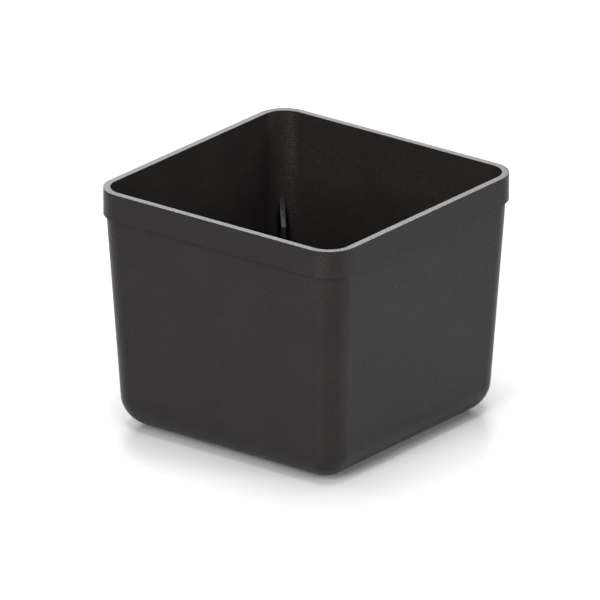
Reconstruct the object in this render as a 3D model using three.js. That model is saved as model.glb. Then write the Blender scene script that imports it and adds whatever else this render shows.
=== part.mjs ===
// A square insert bin with an open top, the kind that stands edge to edge in an assortment case.
// Millimetres, +Z up. The origin is the middle of the underside, on the surface the bin stands on.
//
// The bin is one thin-walled plastic moulding. Each mesh here is one region of that moulding, and
// the regions meet face to face: the pan with its rounded bottom edge, the leaning walls, the
// thicker collar round the rim, and a slim rib up each inner corner.
import * as THREE from "three";

// The rim and its collar
const SIDE = 54; // outside of the rim, both ways
const HEIGHT = 45; // underside to the top of the rim
const COLLAR_HEIGHT = 5; // upright band round the rim
const LEDGE = 0.55; // how far the collar stands out past the wall under it
const LAND = 1.25; // width of the rim's flat top
const RIM_CORNER = 5.5; // outside corner radius of the rim, seen from above

// The walls and the bottom
const DRAFT = THREE.MathUtils.degToRad(3); // each wall leans outwards by this much
const CORNER_NARROWING = 0.006; // how much a corner's radius shrinks for each millimetre down
const HEEL = 6; // radius of the rounded edge between a wall and the underside
const FLOOR_CORNER = 0.3; // corner radius of the flat underside, seen from below
const PAN_HEIGHT = 6.5; // the pan ends here, just above its rounded edge

// The gate mark in the middle of the underside: a shallow dimple with the gate's stub in it
const DIMPLE_RADIUS = 3;
const DIMPLE_DEPTH = 0.35;
const DIMPLE_SIDE = 0.2; // the dimple's slanted edge, measured flat
const STUB_RADIUS = 0.75;
const STUB_LENGTH = 0.22;

// The corner ribs
const RIB_REACH = 1.95; // how far a rib stands out of its corner
const RIB_ROOT = 1.05; // its thickness against the wall
const RIB_TIP = 0.78; // its thickness at the inner edge
const RIB_SHOULDER = 24.1; // height where the upright edge ends and the hollow ramp begins
const RIB_TOP = 29.5; // height where the ramp runs out into the corner

// Smoothness of the curved faces
const ARC_STEPS = 5; // facets on each side of a corner's middle
const HEEL_STEPS = 9;
const RAMP_STEPS = 10;

// Worked out from the dimensions above
const SLOPE = Math.tan(DRAFT);
const COLLAR_FOOT = HEIGHT - COLLAR_HEIGHT;
const FACET = RIB_ROOT / 2; // half the width of the flat in each corner's middle, where a rib stands

const outerHalf = (z) => SIDE / 2 - LEDGE - (COLLAR_FOOT - z) * SLOPE;
const innerHalf = (z) => SIDE / 2 - LAND - (HEIGHT - z) * SLOPE;
const outerCorner = (z) => RIM_CORNER - LEDGE - (COLLAR_FOOT - z) * CORNER_NARROWING;
const innerCorner = (z) => RIM_CORNER - LAND - (HEIGHT - z) * CORNER_NARROWING;

const WALL = (outerHalf(0) - innerHalf(0)) * Math.cos(DRAFT); // thickness of walls and floor
const HEEL_CENTRE = outerHalf(0) + HEEL * SLOPE - HEEL / Math.cos(DRAFT); // also the flat floor's half side

// Half the angle that the flat in a corner's middle spans
function facetAngle(radius) {
  return Math.asin(Math.min(0.5, FACET / radius));
}

// A rounded square, anticlockwise from +X, with the same number of points whatever its size
function outline(half, radius) {
  const centre = half - radius;
  const flat = facetAngle(radius);
  const points = [];
  for (let corner = 0; corner < 4; corner++) {
    const start = (corner * Math.PI) / 2;
    const middle = start + Math.PI / 4;
    const diagonal = new THREE.Vector2(centre, centre).rotateAround(new THREE.Vector2(), start);
    const spans = [
      [start, middle - flat],
      [middle + flat, start + Math.PI / 2],
    ];
    for (const [from, to] of spans)
      points.push(
        ...new THREE.EllipseCurve(diagonal.x, diagonal.y, radius, radius, from, to).getPoints(ARC_STEPS),
      );
  }
  return points;
}

// One level of a loft: a rounded square at a height
const level = (half, radius, z) => ({ points: outline(half, radius), z });
const circle = (radius, z) => level(radius, radius, z);
const outerLevel = (z) => level(outerHalf(z), outerCorner(z), z);
const innerLevel = (z) => level(innerHalf(z), innerCorner(z), z);

// The levels up one side of the rounded bottom edge, from the flat floor to the wall.
// thickness is 0 on the outside, and the wall's thickness on the inside.
function heelLevels(thickness, cornerAt) {
  const radius = HEEL - thickness;
  const wallFoot = HEEL - radius * Math.sin(DRAFT);
  const levels = [];
  for (let step = 0; step <= HEEL_STEPS; step++) {
    const angle = -Math.PI / 2 + (step / HEEL_STEPS) * (Math.PI / 2 - DRAFT);
    const share = Math.cos(angle) / Math.cos(DRAFT);
    const corner = THREE.MathUtils.lerp(FLOOR_CORNER, cornerAt(wallFoot), share);
    levels.push(level(HEEL_CENTRE + radius * Math.cos(angle), corner, HEEL + radius * Math.sin(angle)));
  }
  return levels;
}

// A closed surface through the levels in turn. A ring joins its last level to its first;
// any other loft is closed by a flat face across its first level and one across its last.
function loft(levels, ring) {
  const count = levels[0].points.length;
  const positions = levels.flatMap(({ points, z }) => points.flatMap((p) => [p.x, p.y, z]));
  const index = [];
  const bands = ring ? levels.length : levels.length - 1;
  for (let band = 0; band < bands; band++) {
    const low = band * count;
    const high = ((band + 1) % levels.length) * count;
    for (let i = 0; i < count; i++) {
      const next = (i + 1) % count;
      index.push(low + i, low + next, high + next, low + i, high + next, high + i);
    }
  }
  if (!ring) {
    const last = (levels.length - 1) * count;
    for (const [a, b, c] of THREE.ShapeUtils.triangulateShape(levels[0].points, []))
      index.push(c, b, a);
    for (const [a, b, c] of THREE.ShapeUtils.triangulateShape(levels.at(-1).points, []))
      index.push(last + a, last + b, last + c);
  }
  const geometry = new THREE.BufferGeometry();
  geometry.setAttribute("position", new THREE.Float32BufferAttribute(positions, 3));
  geometry.setIndex(index);
  geometry.computeVertexNormals();
  return geometry;
}

// Floor, gate mark and rounded bottom edge, from the stub outwards, up, over and back to the floor
function panGeometry() {
  const gateMark = [
    circle(STUB_RADIUS, DIMPLE_DEPTH - STUB_LENGTH),
    circle(STUB_RADIUS, DIMPLE_DEPTH),
    circle(DIMPLE_RADIUS, DIMPLE_DEPTH),
    circle(DIMPLE_RADIUS + DIMPLE_SIDE, 0),
  ];
  return loft([
    ...gateMark,
    ...heelLevels(0, outerCorner),
    outerLevel(PAN_HEIGHT),
    innerLevel(PAN_HEIGHT),
    ...heelLevels(WALL, innerCorner).reverse(),
  ]);
}

// The four leaning walls, as one ring
function wallGeometry() {
  return loft(
    [outerLevel(PAN_HEIGHT), outerLevel(COLLAR_FOOT), innerLevel(COLLAR_FOOT), innerLevel(PAN_HEIGHT)],
    true,
  );
}

// The upright band round the rim, with the ledge under it and the flat land on top
function collarGeometry() {
  return loft(
    [
      level(SIDE / 2, RIM_CORNER, COLLAR_FOOT),
      level(SIDE / 2, RIM_CORNER, HEIGHT),
      innerLevel(HEIGHT),
      innerLevel(COLLAR_FOOT),
    ],
    true,
  );
}

// Distance along the diagonal from the bin's axis to the flat in a corner's middle
function facetDistance(half, radius) {
  return Math.SQRT2 * (half - radius) + radius * Math.cos(facetAngle(radius));
}

// The same distance up the wall, where the flat is one straight strip
function wallFacet(z) {
  const low = facetDistance(innerHalf(PAN_HEIGHT), innerCorner(PAN_HEIGHT));
  const high = facetDistance(innerHalf(COLLAR_FOOT), innerCorner(COLLAR_FOOT));
  return THREE.MathUtils.mapLinear(z, PAN_HEIGHT, COLLAR_FOOT, low, high);
}

// The rib's inner edge runs parallel to the corner it stands in
const ribEdge = (z) => wallFacet(z) - RIB_REACH;

// Side view of a rib: x is the distance along the diagonal from the bin's axis, y the height
function ribOutline() {
  const lean = Math.atan(wallFacet(1) - wallFacet(0));
  const rise = RIB_TOP - RIB_SHOULDER;
  const run = wallFacet(RIB_TOP) - ribEdge(RIB_SHOULDER);
  const footLean = 2 * Math.atan(run / rise) - lean;
  const radius = rise / (Math.sin(footLean) - Math.sin(lean));
  const centreX = wallFacet(RIB_TOP) - radius * Math.cos(lean);
  const centreY = RIB_TOP + radius * Math.sin(lean);
  const ramp = new THREE.EllipseCurve(centreX, centreY, radius, radius, -footLean, -lean);

  // The rounded bottom edge carries the rib's foot, from where the rib's inner edge meets it
  const heel = heelLevels(WALL, innerCorner).map(({ points, z }) => {
    const flatMiddle = points[ARC_STEPS].clone().lerp(points[ARC_STEPS + 1], 0.5);
    return new THREE.Vector2(flatMiddle.length(), z);
  });
  const first = heel.findIndex((p) => p.x > ribEdge(p.y));
  const inside = heel[first - 1];
  const beyond = heel[first];
  const gapInside = ribEdge(inside.y) - inside.x;
  const gapBeyond = beyond.x - ribEdge(beyond.y);
  const foot = inside.clone().lerp(beyond, gapInside / (gapInside + gapBeyond));
  const back = [...heel.slice(first), new THREE.Vector2(wallFacet(PAN_HEIGHT), PAN_HEIGHT)];
  return [...ramp.getPoints(RAMP_STEPS), ...back.reverse(), foot];
}

// A rib on the +X +Y diagonal: its side view extruded, then thinned evenly towards its inner edge
function ribGeometry() {
  const geometry = new THREE.ExtrudeGeometry(new THREE.Shape(ribOutline()), {
    depth: 1,
    bevelEnabled: false,
  });
  const position = geometry.getAttribute("position");
  const along = new THREE.Vector3(1, 1, 0).normalize();
  const across = new THREE.Vector3(1, -1, 0).normalize();
  for (let i = 0; i < position.count; i++) {
    const distance = position.getX(i);
    const height = position.getY(i);
    const reach = (wallFacet(height) - distance) / RIB_REACH;
    const offset = (position.getZ(i) - 0.5) * THREE.MathUtils.lerp(RIB_ROOT, RIB_TIP, reach);
    const point = along.clone().multiplyScalar(distance).addScaledVector(across, offset);
    position.setXYZ(i, point.x, point.y, height);
  }
  geometry.computeVertexNormals();
  return geometry;
}

// Black plastic with a fine matt texture
function blackPlastic() {
  return new THREE.MeshStandardMaterial({ color: 0x2e2d2d, roughness: 0.5, metalness: 0 });
}

const bin = new THREE.Group();

function addRegion(name, geometry, turn = 0) {
  const mesh = new THREE.Mesh(geometry, blackPlastic());
  mesh.name = name;
  mesh.rotation.z = turn;
  bin.add(mesh);
}

addRegion("base_pan", panGeometry());
addRegion("wall_shell", wallGeometry());
addRegion("rim_collar", collarGeometry());
["back_right", "back_left", "front_left", "front_right"].forEach((corner, quarter) => {
  addRegion("corner_rib_" + corner, ribGeometry(), (quarter * Math.PI) / 2);
});

export default bin;
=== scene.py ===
import math
from collections import namedtuple

import bmesh
import bpy
from mathutils import Matrix, Vector


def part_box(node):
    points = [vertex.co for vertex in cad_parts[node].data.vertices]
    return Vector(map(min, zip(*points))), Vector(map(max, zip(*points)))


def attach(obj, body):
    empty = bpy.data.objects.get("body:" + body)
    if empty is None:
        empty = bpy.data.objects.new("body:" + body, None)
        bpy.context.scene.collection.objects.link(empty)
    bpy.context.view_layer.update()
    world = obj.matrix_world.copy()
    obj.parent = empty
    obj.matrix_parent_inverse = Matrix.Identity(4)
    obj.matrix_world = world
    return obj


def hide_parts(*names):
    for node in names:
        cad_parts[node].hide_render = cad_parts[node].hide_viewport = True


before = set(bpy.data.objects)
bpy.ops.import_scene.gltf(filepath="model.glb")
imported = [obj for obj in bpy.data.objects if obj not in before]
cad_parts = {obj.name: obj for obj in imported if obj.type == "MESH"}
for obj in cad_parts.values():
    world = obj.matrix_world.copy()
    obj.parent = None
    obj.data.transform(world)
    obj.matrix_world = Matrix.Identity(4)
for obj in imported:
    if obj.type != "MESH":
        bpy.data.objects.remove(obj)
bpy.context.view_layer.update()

# ---------------------------------------------------------------- dimensions, in metres
MM = 0.001

# Read from the frame
pan_low, pan_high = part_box("base_pan")
wall_low, wall_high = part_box("wall_shell")
collar_low, collar_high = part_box("rim_collar")
HALF = collar_high.x  # half the side of the rim
TOP = collar_high.z
COLLAR_FOOT = collar_low.z
PAN_TOP = pan_high.z
WALL_HALF = wall_high.x  # half the outside of the walls, just under the ledge
SLOPE = (WALL_HALF - pan_high.x) / (COLLAR_FOOT - PAN_TOP)
DRAFT = math.atan(SLOPE)  # each wall's lean

# The moulding's details, as the CAD has them
LAND = 1.25 * MM  # width of the rim's flat top
RIM_CORNER = 5.5 * MM  # outside corner radius of the rim
CORNER_NARROWING = 0.006  # shrinkage of a corner's radius per unit of height
HEEL = 6.0 * MM  # radius of the rounded bottom edge
FLOOR_CORNER = 0.3 * MM  # corner radius of the flat underside
RIB_REACH = 1.95 * MM  # how far a rib stands out of its corner
RIB_ROOT = 1.05 * MM  # its thickness at the wall
RIB_TIP = 0.78 * MM  # its thickness at the free edge
RIB_SHOULDER = 24.1 * MM  # foot of the ramp
RIB_TOP = 29.5 * MM  # where the ramp runs out into the corner
DIMPLE_RADIUS = 3.0 * MM
DIMPLE_DEPTH = 0.35 * MM
DIMPLE_SIDE = 0.2 * MM
STUB_RADIUS = 0.75 * MM
STUB_LENGTH = 0.22 * MM

# Fine roundings that only the visual model has
LAND_EDGE = 0.03 * MM
LEDGE_EDGE = 0.04 * MM
DIMPLE_EDGE = 0.08 * MM
RIB_EDGE = 0.04 * MM
RIB_FLARE = 0.12 * MM
RIB_BURIED = 0.25 * MM  # how deep a rib's root sits in the wall, so that no seam shows
RIB_FULL_DEPTH = 0.4 * MM  # where a rib stands out less than this, its roundings shrink
RIB_SHALLOWEST = 0.06 * MM  # and where it runs out, its root sinks to keep this depth
RIB_LEAST_EDGE = 0.5  # the share of its edge's rounding that is left there

# The plastic, whose colour and gloss were fitted to the photo's tones together with the lights
PLASTIC_COLOUR = (0.0080, 0.0068, 0.0066)
ROUGHNESS = 0.31
ROUGHNESS_SPREAD = 0.03
REFRACTION = 1.45
SPECULAR_LEVEL = 0.18
GRAIN_SIZE = 0.22 * MM
MOTTLE_SIZE = 0.36 * MM
MOTTLE_TINT = (0.75, 1.25)  # the least and the most that the colour is multiplied by
CLOUD_SIZE = 9 * MM
CLOUD_TINT = (0.9, 1.1)
NOISE_RANGE = (0.3, 0.7)  # where nearly all of a noise's values lie
GRAIN_DEPTH = 0.06 * MM
EDGE_POLISH = 0.3 * MM  # how far from an edge the plastic is smoother
EDGE_FACING = (0.75, 1)  # cosine of true to rounded normal, from fully polished to not
POLISHED = 0.85  # roughness there, as a share of the rest
PAINTED_SHADE_REACH = 1.0 * MM  # a surface this near casts painted shade into a crease
PAINTED_SHADE_OPENNESS = (0.58, 0.92)  # painted shade, from fully dark to not darkened
LOOKS_UP = (0.7, 0.95)  # a normal's Z, from full grain to almost none
LEAST_GRAIN = 0.15

# Worked out
CENTRE = HALF - RIM_CORNER  # where the rim's corner arcs are centred, on X and on Y
INNER_HALF = HALF - LAND
WALL = (WALL_HALF - INNER_HALF + (TOP - COLLAR_FOOT) * SLOPE) * math.cos(DRAFT)
HEEL_CENTRE = WALL_HALF - (COLLAR_FOOT - HEEL) * SLOPE - HEEL / math.cos(DRAFT)

# Smoothness
CORNER_STEPS = 20
HEEL_STEPS = 20
EDGE_STEPS = 4
RAMP_STEPS = 18
RIB_UPRIGHT_STEPS = 14
RIB_FOOT_CROWDING = 1.6  # above 1, a rib's levels lie closer together near its foot
RIB_FOOT_STEP = 0.02 * MM  # how finely the foot is looked for
FLAT_SHARES = (0.25, 0.5, 0.75)  # points along each straight side
SHARP_ANGLE = math.radians(32)  # a stronger bend between two faces stays sharp


# ---------------------------------------------------------------- mesh building
def closed_piece(name, made):
    """The bmesh as an object with smooth curves, true flats and sharp edges."""
    bmesh.ops.recalc_face_normals(made, faces=made.faces)
    mesh = bpy.data.meshes.new(name)
    made.to_mesh(mesh)
    made.free()
    for face in mesh.polygons:
        face.use_smooth = True
    mesh.set_sharp_from_angle(angle=SHARP_ANGLE)
    piece = bpy.data.objects.new(name, mesh)
    bpy.context.scene.collection.objects.link(piece)
    weighted = piece.modifiers.new("weighted", "WEIGHTED_NORMAL")
    weighted.keep_sharp = True
    weighted.weight = 100
    with bpy.context.temp_override(object=piece, active_object=piece):
        bpy.ops.object.modifier_apply(modifier=weighted.name)
    return piece


def add_rows(made, sections):
    """Rows of vertices with a band of faces between each row and the next."""
    rows = [[made.verts.new(point) for point in section] for section in sections]
    for low, high in zip(rows, rows[1:]):
        add_band(made, low, high)
    return rows


def add_band(made, low, high):
    for i, start in enumerate(low):
        j = (i + 1) % len(low)
        made.faces.new((start, low[j], high[j], high[i]))


def rounded(before, corner, after, radius):
    """The points of an arc that rounds off a corner of a flat outline."""
    before, corner, after = Vector(before), Vector(corner), Vector(after)
    to_before, to_after = (before - corner).normalized(), (after - corner).normalized()
    opening = to_before.angle(to_after)
    middle = corner + (to_before + to_after).normalized() * (radius / math.sin(opening / 2))
    start = corner + to_before * (radius / math.tan(opening / 2)) - middle
    end = corner + to_after * (radius / math.tan(opening / 2)) - middle
    sweep = -start.angle_signed(end)
    turns = [Matrix.Rotation(sweep * step / EDGE_STEPS, 2) for step in range(EDGE_STEPS + 1)]
    return [middle + turn @ start for turn in turns]


# ---------------------------------------------------------------- levels of the bin
# Half the side, where the corner arcs are centred on X and on Y, and the height
Level = namedtuple("Level", "half centre z")


def outer(z):
    """The outside of the wall at a height."""
    down = COLLAR_FOOT - z
    return Level(WALL_HALF - down * SLOPE, CENTRE - down * (SLOPE - CORNER_NARROWING), z)


def inner(z):
    """The inside of the wall at a height."""
    down = TOP - z
    return Level(INNER_HALF - down * SLOPE, CENTRE - down * (SLOPE - CORNER_NARROWING), z)


def heel(thickness, wall_at):
    """The rounded bottom edge from floor to wall: its outside, or its inside one thickness in."""
    radius = HEEL - thickness
    foot = wall_at(HEEL - radius * math.sin(DRAFT))
    levels = []
    for step in range(HEEL_STEPS + 1):
        angle = -math.pi / 2 + step / HEEL_STEPS * (math.pi / 2 - DRAFT)
        half = HEEL_CENTRE + radius * math.cos(angle)
        share = math.cos(angle) / math.cos(DRAFT)
        corner = FLOOR_CORNER + (foot.half - foot.centre - FLOOR_CORNER) * share
        levels.append(Level(half, half - corner, HEEL + radius * math.sin(angle)))
    return levels


def eased(before, corner, after, radius):
    """The levels that round off a corner of the wall's section."""
    points = rounded((before.half, before.z), (corner.half, corner.z), (after.half, after.z), radius)
    return [Level(half, corner.centre, z) for half, z in points]


def section(level):
    """A rounded square, anticlockwise from above, with the same number of points at any size."""
    radius, centre = level.half - level.centre, level.centre
    quarter = []
    for step in range(CORNER_STEPS + 1):
        angle = step / CORNER_STEPS * math.pi / 2
        quarter.append((centre + radius * math.cos(angle), centre + radius * math.sin(angle)))
    quarter += [(centre - 2 * centre * share, level.half) for share in FLAT_SHARES]
    points = []
    for _ in range(4):
        points += [(x, y, level.z) for x, y in quarter]
        quarter = [(-y, x) for x, y in quarter]
    return points


def disc(radius, z):
    """A circle with as many points as a section has."""
    count = len(section(outer(0)))
    angles = [math.tau * step / count for step in range(count)]
    return [(radius * math.cos(a), radius * math.sin(a), z) for a in angles]


# ---------------------------------------------------------------- the moulding's regions
def make_pan():
    """Flat floor, rounded bottom edge and, under the floor, the gate's dimple and stub."""
    stub_end = DIMPLE_DEPTH - STUB_LENGTH
    tip, root = (STUB_RADIUS, stub_end), (STUB_RADIUS, DIMPLE_DEPTH)
    roof, rim = (DIMPLE_RADIUS, DIMPLE_DEPTH), (DIMPLE_RADIUS + DIMPLE_SIDE, 0)
    gate = [
        *rounded((0, stub_end), tip, root, DIMPLE_EDGE),
        *rounded(tip, root, roof, DIMPLE_EDGE),
        *rounded(root, roof, rim, DIMPLE_EDGE),
        *rounded(roof, rim, (HEEL_CENTRE, 0), DIMPLE_EDGE),
    ]
    levels = [
        *heel(0, outer),
        outer(PAN_TOP),
        inner(PAN_TOP),
        *reversed(heel(WALL, inner)),
    ]
    made = bmesh.new()
    rows = add_rows(made, [disc(*point) for point in gate] + [section(level) for level in levels])
    made.faces.new(rows[0])
    made.faces.new(rows[-1])
    return closed_piece("bin_base_pan", made)


def make_ring(name, levels):
    made = bmesh.new()
    rows = add_rows(made, [section(level) for level in levels])
    add_band(made, rows[-1], rows[0])
    return closed_piece(name, made)


def make_walls():
    """The four leaning walls, closed on themselves round the bin."""
    return make_ring(
        "bin_wall_shell", [outer(PAN_TOP), outer(COLLAR_FOOT), inner(COLLAR_FOOT), inner(PAN_TOP)]
    )


def make_collar():
    """The upright band round the rim, its ledge and the flat land on top."""
    foot, rim = Level(HALF, CENTRE, COLLAR_FOOT), Level(HALF, CENTRE, TOP)
    levels = [
        outer(COLLAR_FOOT),
        *eased(outer(COLLAR_FOOT), foot, rim, LEDGE_EDGE),
        *eased(foot, rim, inner(TOP), LAND_EDGE),
        *eased(rim, inner(TOP), inner(COLLAR_FOOT), LAND_EDGE),
        inner(COLLAR_FOOT),
    ]
    return make_ring("bin_rim_collar", levels)


# ---------------------------------------------------------------- the corner ribs
# Along is the distance from the bin's axis on a corner's diagonal.
def corner_distance(level):
    """Along for the middle of a corner's arc."""
    return math.sqrt(2) * level.centre + level.half - level.centre


def wall_line(z):
    """Along for the inside of a corner, carried straight on below the wall."""
    return corner_distance(inner(z))


inner_heel = heel(WALL, inner)


def corner_surface(z):
    """Along for the inside of a corner, following the rounded bottom edge."""
    if z >= inner_heel[-1].z:
        return wall_line(z)
    low, high = next((a, b) for a, b in zip(inner_heel, inner_heel[1:]) if b.z >= z)
    share = (z - low.z) / (high.z - low.z)
    return corner_distance(low) * (1 - share) + corner_distance(high) * share


def rib_edge_profile():
    """The rib's free edge from its foot to where the hollow ramp runs out, as (along, z) points."""
    lean = math.atan(wall_line(1) - wall_line(0))
    shoulder = (wall_line(RIB_SHOULDER) - RIB_REACH, RIB_SHOULDER)
    foot_z = inner_heel[0].z
    while corner_surface(foot_z) < wall_line(foot_z) - RIB_REACH - RIB_BURIED / 2:
        foot_z += RIB_FOOT_STEP
    upright = []
    for step in range(RIB_UPRIGHT_STEPS):
        z = foot_z + (RIB_SHOULDER - foot_z) * (step / RIB_UPRIGHT_STEPS) ** RIB_FOOT_CROWDING
        upright.append((wall_line(z) - RIB_REACH, z))

    rise, run = RIB_TOP - RIB_SHOULDER, wall_line(RIB_TOP) - shoulder[0]
    foot_lean = 2 * math.atan(run / rise) - lean
    radius = rise / (math.sin(foot_lean) - math.sin(lean))
    ramp = []
    for step in range(1, RAMP_STEPS + 1):
        angle = foot_lean + (lean - foot_lean) * step / RAMP_STEPS
        along = wall_line(RIB_TOP) - radius * (math.cos(lean) - math.cos(angle))
        ramp.append((along, RIB_TOP + radius * (math.sin(lean) - math.sin(angle))))
    buried_end = (ramp[-1][0] + RIB_BURIED / 2, RIB_TOP + RIB_BURIED)
    return [*upright, *rounded(upright[-1], shoulder, ramp[0], RIB_EDGE), *ramp, buried_end]


def rib_section(edge, z):
    """A level cut through a rib as (along, across) points, anticlockwise from above."""
    root = max(corner_surface(z), edge + RIB_SHALLOWEST)
    size = min((root - edge) / RIB_FULL_DEPTH, 1)
    flare, tip = RIB_FLARE * size, RIB_EDGE * max(size, RIB_LEAST_EDGE)

    def half_thickness(along):
        share = (wall_line(z) - along) / RIB_REACH
        return (RIB_ROOT + (RIB_TIP - RIB_ROOT) * share) / 2

    quarters = [step / EDGE_STEPS * math.pi / 2 for step in range(EDGE_STEPS + 1)]
    at_root, at_tip = half_thickness(root - flare), half_thickness(edge + tip)
    side = [(root + RIB_BURIED, at_root + flare)]
    side += [(root - flare + flare * math.cos(a), at_root + flare - flare * math.sin(a)) for a in quarters]
    side += [(edge + tip - tip * math.sin(a), at_tip - tip + tip * math.cos(a)) for a in quarters]
    return [(along, -across) for along, across in reversed(side)] + side


def make_rib(name, turn):
    direction = Vector((math.cos(turn), math.sin(turn)))
    sideways = Vector((-direction.y, direction.x))
    made = bmesh.new()
    sections = []
    for edge, z in rib_edge_profile():
        flat = [direction * along + sideways * across for along, across in rib_section(edge, z)]
        sections.append([(point.x, point.y, z) for point in flat])
    rows = add_rows(made, sections)
    made.faces.new(rows[0])
    made.faces.new(rows[-1])
    return closed_piece(name, made)


# ---------------------------------------------------------------- put together
def mould_in(piece, node, material):
    """The piece stands for a CAD node, rides with the bin and takes the bin's plastic."""
    piece.data.materials.append(material)
    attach(piece, "root")
    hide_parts(node)


def make_plastic():
    """Near-black plastic with a fine mould grain, faint cloudiness, painted shade in the creases and
    polished edges.
    """
    material = bpy.data.materials.new("black_plastic")
    material.use_nodes = True
    nodes, links = material.node_tree.nodes, material.node_tree.links
    shader = nodes["Principled BSDF"]
    shader.inputs["IOR"].default_value = REFRACTION
    shader.inputs["Specular IOR Level"].default_value = SPECULAR_LEVEL
    place = nodes.new("ShaderNodeTexCoord").outputs["Object"]

    def noise(size, detail, roughness=0.5):
        """Noise whose blotches are about this size."""
        node = nodes.new("ShaderNodeTexNoise")
        node.inputs["Scale"].default_value = 1 / size
        node.inputs["Detail"].default_value = detail
        node.inputs["Roughness"].default_value = roughness
        links.new(place, node.inputs["Vector"])
        return node.outputs["Fac"]

    def spread(value, before, after):
        """The value, stretched from one range to another and kept within it."""
        node = nodes.new("ShaderNodeMapRange")
        node.inputs["From Min"].default_value, node.inputs["From Max"].default_value = before
        node.inputs["To Min"].default_value, node.inputs["To Max"].default_value = after
        links.new(value, node.inputs["Value"])
        return node.outputs["Result"]

    def combined(operation, one, other):
        node = nodes.new("ShaderNodeMath")
        node.operation = operation
        links.new(one, node.inputs[0])
        links.new(other, node.inputs[1])
        return node.outputs["Value"]

    grain = noise(GRAIN_SIZE, 2)
    mottle = noise(MOTTLE_SIZE, 3, 0.6)
    cloud = noise(CLOUD_SIZE, 2)

    # Colour: pigment that isn't spread quite evenly
    pigment = combined(
        "MULTIPLY", spread(mottle, NOISE_RANGE, MOTTLE_TINT), spread(cloud, NOISE_RANGE, CLOUD_TINT)
    )

    # Painted shade: the colour is darkened in the creases under the ledge and beside the ribs
    painted_shade_ao = nodes.new("ShaderNodeAmbientOcclusion")
    painted_shade_ao.samples = 16
    painted_shade_ao.inputs["Distance"].default_value = PAINTED_SHADE_REACH
    painted_shade = spread(painted_shade_ao.outputs["AO"], PAINTED_SHADE_OPENNESS, (0, 1))

    # Mixing from black to twice the colour multiplies it by the pigment's tone times the painted shade,
    # from 0 to 2
    tint = nodes.new("ShaderNodeMix")
    tint.data_type = "RGBA"
    tint.inputs["A"].default_value = (0, 0, 0, 1)
    tint.inputs["B"].default_value = (*(2 * channel for channel in PLASTIC_COLOUR), 1)
    links.new(spread(combined("MULTIPLY", pigment, painted_shade), (0, 2), (0, 1)), tint.inputs["Factor"])
    links.new(tint.outputs["Result"], shader.inputs["Base Color"])

    # Gloss: uneven, and smoother along the edges, where parts rub and mould steel wears
    bevel = nodes.new("ShaderNodeBevel")
    bevel.samples = 4
    bevel.inputs["Radius"].default_value = EDGE_POLISH
    geometry = nodes.new("ShaderNodeNewGeometry")
    facing = nodes.new("ShaderNodeVectorMath")
    facing.operation = "DOT_PRODUCT"
    links.new(bevel.outputs["Normal"], facing.inputs[0])
    links.new(geometry.outputs["Normal"], facing.inputs[1])
    dull = spread(mottle, NOISE_RANGE, (ROUGHNESS - ROUGHNESS_SPREAD, ROUGHNESS + ROUGHNESS_SPREAD))
    polish = spread(facing.outputs["Value"], EDGE_FACING, (POLISHED, 1))
    links.new(combined("MULTIPLY", dull, polish), shader.inputs["Roughness"])

    # Relief of the mould grain, which almost leaves out the faces that look up
    axes = nodes.new("ShaderNodeSeparateXYZ")
    links.new(geometry.outputs["Normal"], axes.inputs["Vector"])
    textured = spread(axes.outputs["Z"], LOOKS_UP, (1, LEAST_GRAIN))
    bump = nodes.new("ShaderNodeBump")
    bump.inputs["Strength"].default_value = 1
    bump.inputs["Distance"].default_value = GRAIN_DEPTH
    relief = combined("MULTIPLY", combined("ADD", grain, mottle), textured)
    links.new(relief, bump.inputs["Height"])
    links.new(bump.outputs["Normal"], shader.inputs["Normal"])
    return material


plastic = make_plastic()
mould_in(make_pan(), "base_pan", plastic)
mould_in(make_walls(), "wall_shell", plastic)
mould_in(make_collar(), "rim_collar", plastic)
for quarter, corner in enumerate(("back_right", "back_left", "front_left", "front_right")):
    rib = make_rib("bin_corner_rib_" + corner, math.radians(45 + 90 * quarter))
    mould_in(rib, "corner_rib_" + corner, plastic)


# ---------------------------------------------------------------- camera
CAMERA_AZIMUTH = math.radians(37.702)  # 0 looks along +Y
CAMERA_ELEVATION = math.radians(21.229)
CAMERA_ROLL = math.radians(0.141)
CAMERA_DISTANCE = 2630 * MM
CAMERA_LENS = 895.8  # of a 36 mm wide sensor
CAMERA_ASIDE = 1.079 * MM  # the bin stands this far right of the picture's middle
CAMERA_BELOW = 0.263 * MM  # and this far above it


def make_camera():
    a, e = CAMERA_AZIMUTH, CAMERA_ELEVATION
    back = Vector((math.sin(a) * math.cos(e), -math.cos(a) * math.cos(e), math.sin(e)))
    level_right = Vector((math.cos(a), math.sin(a), 0))
    level_up = back.cross(level_right)
    right = level_right * math.cos(CAMERA_ROLL) + level_up * math.sin(CAMERA_ROLL)
    up = level_up * math.cos(CAMERA_ROLL) - level_right * math.sin(CAMERA_ROLL)
    target = Vector((0, 0, TOP / 2)) - right * CAMERA_ASIDE - up * CAMERA_BELOW
    camera = bpy.data.objects.new("camera", bpy.data.cameras.new("camera"))
    bpy.context.scene.collection.objects.link(camera)
    axes = Matrix((right, up, back)).transposed()
    camera.matrix_world = Matrix.Translation(target + back * CAMERA_DISTANCE) @ axes.to_4x4()
    camera.data.lens = CAMERA_LENS
    camera.data.clip_start, camera.data.clip_end = 0.1, 20
    bpy.context.scene.camera = camera


make_camera()


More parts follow.
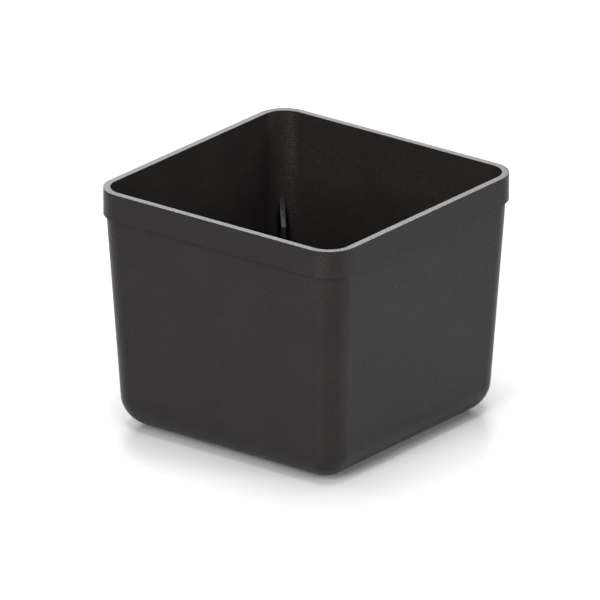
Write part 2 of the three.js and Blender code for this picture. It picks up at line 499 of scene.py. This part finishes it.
# ---------------------------------------------------------------- floor and light
FLOOR_REACH = 3  # metres from the bin to the floor's edges
FLOOR_TONE = 0.33  # pale enough for the lights to turn it white
LIGHT_DISTANCE = 1  # metres from the bin to each light
WORLD_STRENGTH = 0.1


def make_floor():
    made = bmesh.new()
    bmesh.ops.create_grid(made, x_segments=1, y_segments=1, size=FLOOR_REACH)
    mesh = bpy.data.meshes.new("floor")
    made.to_mesh(mesh)
    made.free()
    floor = bpy.data.objects.new("floor", mesh)
    bpy.context.scene.collection.objects.link(floor)
    material = bpy.data.materials.new("pale_floor")
    material.use_nodes = True
    shader = material.node_tree.nodes["Principled BSDF"]
    shader.inputs["Base Color"].default_value = (FLOOR_TONE, FLOOR_TONE, FLOOR_TONE, 1)
    floor.data.materials.append(material)


make_floor()


def soft_light(name, azimuth, elevation, width, height, power):
    """A soft box that faces the bin. Azimuth 0 is the front, 90 the bin's right. Power is in watts."""
    a, e = math.radians(azimuth), math.radians(elevation)
    out = Vector((math.sin(a) * math.cos(e), -math.cos(a) * math.cos(e), math.sin(e)))
    data = bpy.data.lights.new(name, "AREA")
    data.shape = "RECTANGLE"
    data.size, data.size_y = width, height
    data.energy = power
    light = bpy.data.objects.new(name, data)
    bpy.context.scene.collection.objects.link(light)
    light.location = Vector((0, 0, TOP / 2)) + out * LIGHT_DISTANCE
    light.rotation_mode = "QUATERNION"
    light.rotation_quaternion = out.to_track_quat("Z", "Y")
    light.visible_camera = False


soft_light("overhead", 0, 90, 0.5, 0.5, 20)
soft_light("key", 47, 52, 0.3, 0.3, 4.6)
soft_light("front", 5, 40, 0.3, 0.3, 7)
soft_light("front_low", 5, 18, 0.3, 0.3, 10)
soft_light("front_right", 50, 18, 0.3, 0.3, 2)
soft_light("right", 105, 18, 0.3, 0.3, 8.5)
soft_light("back", 225, 28, 0.5, 0.4, 4.3)
world = bpy.data.worlds.new("studio")
bpy.context.scene.world = world
world.use_nodes = True
world.node_tree.nodes["Background"].inputs["Color"].default_value = (1, 1, 1, 1)
world.node_tree.nodes["Background"].inputs["Strength"].default_value = WORLD_STRENGTH

bpy.context.scene.view_settings.view_transform = "Standard"
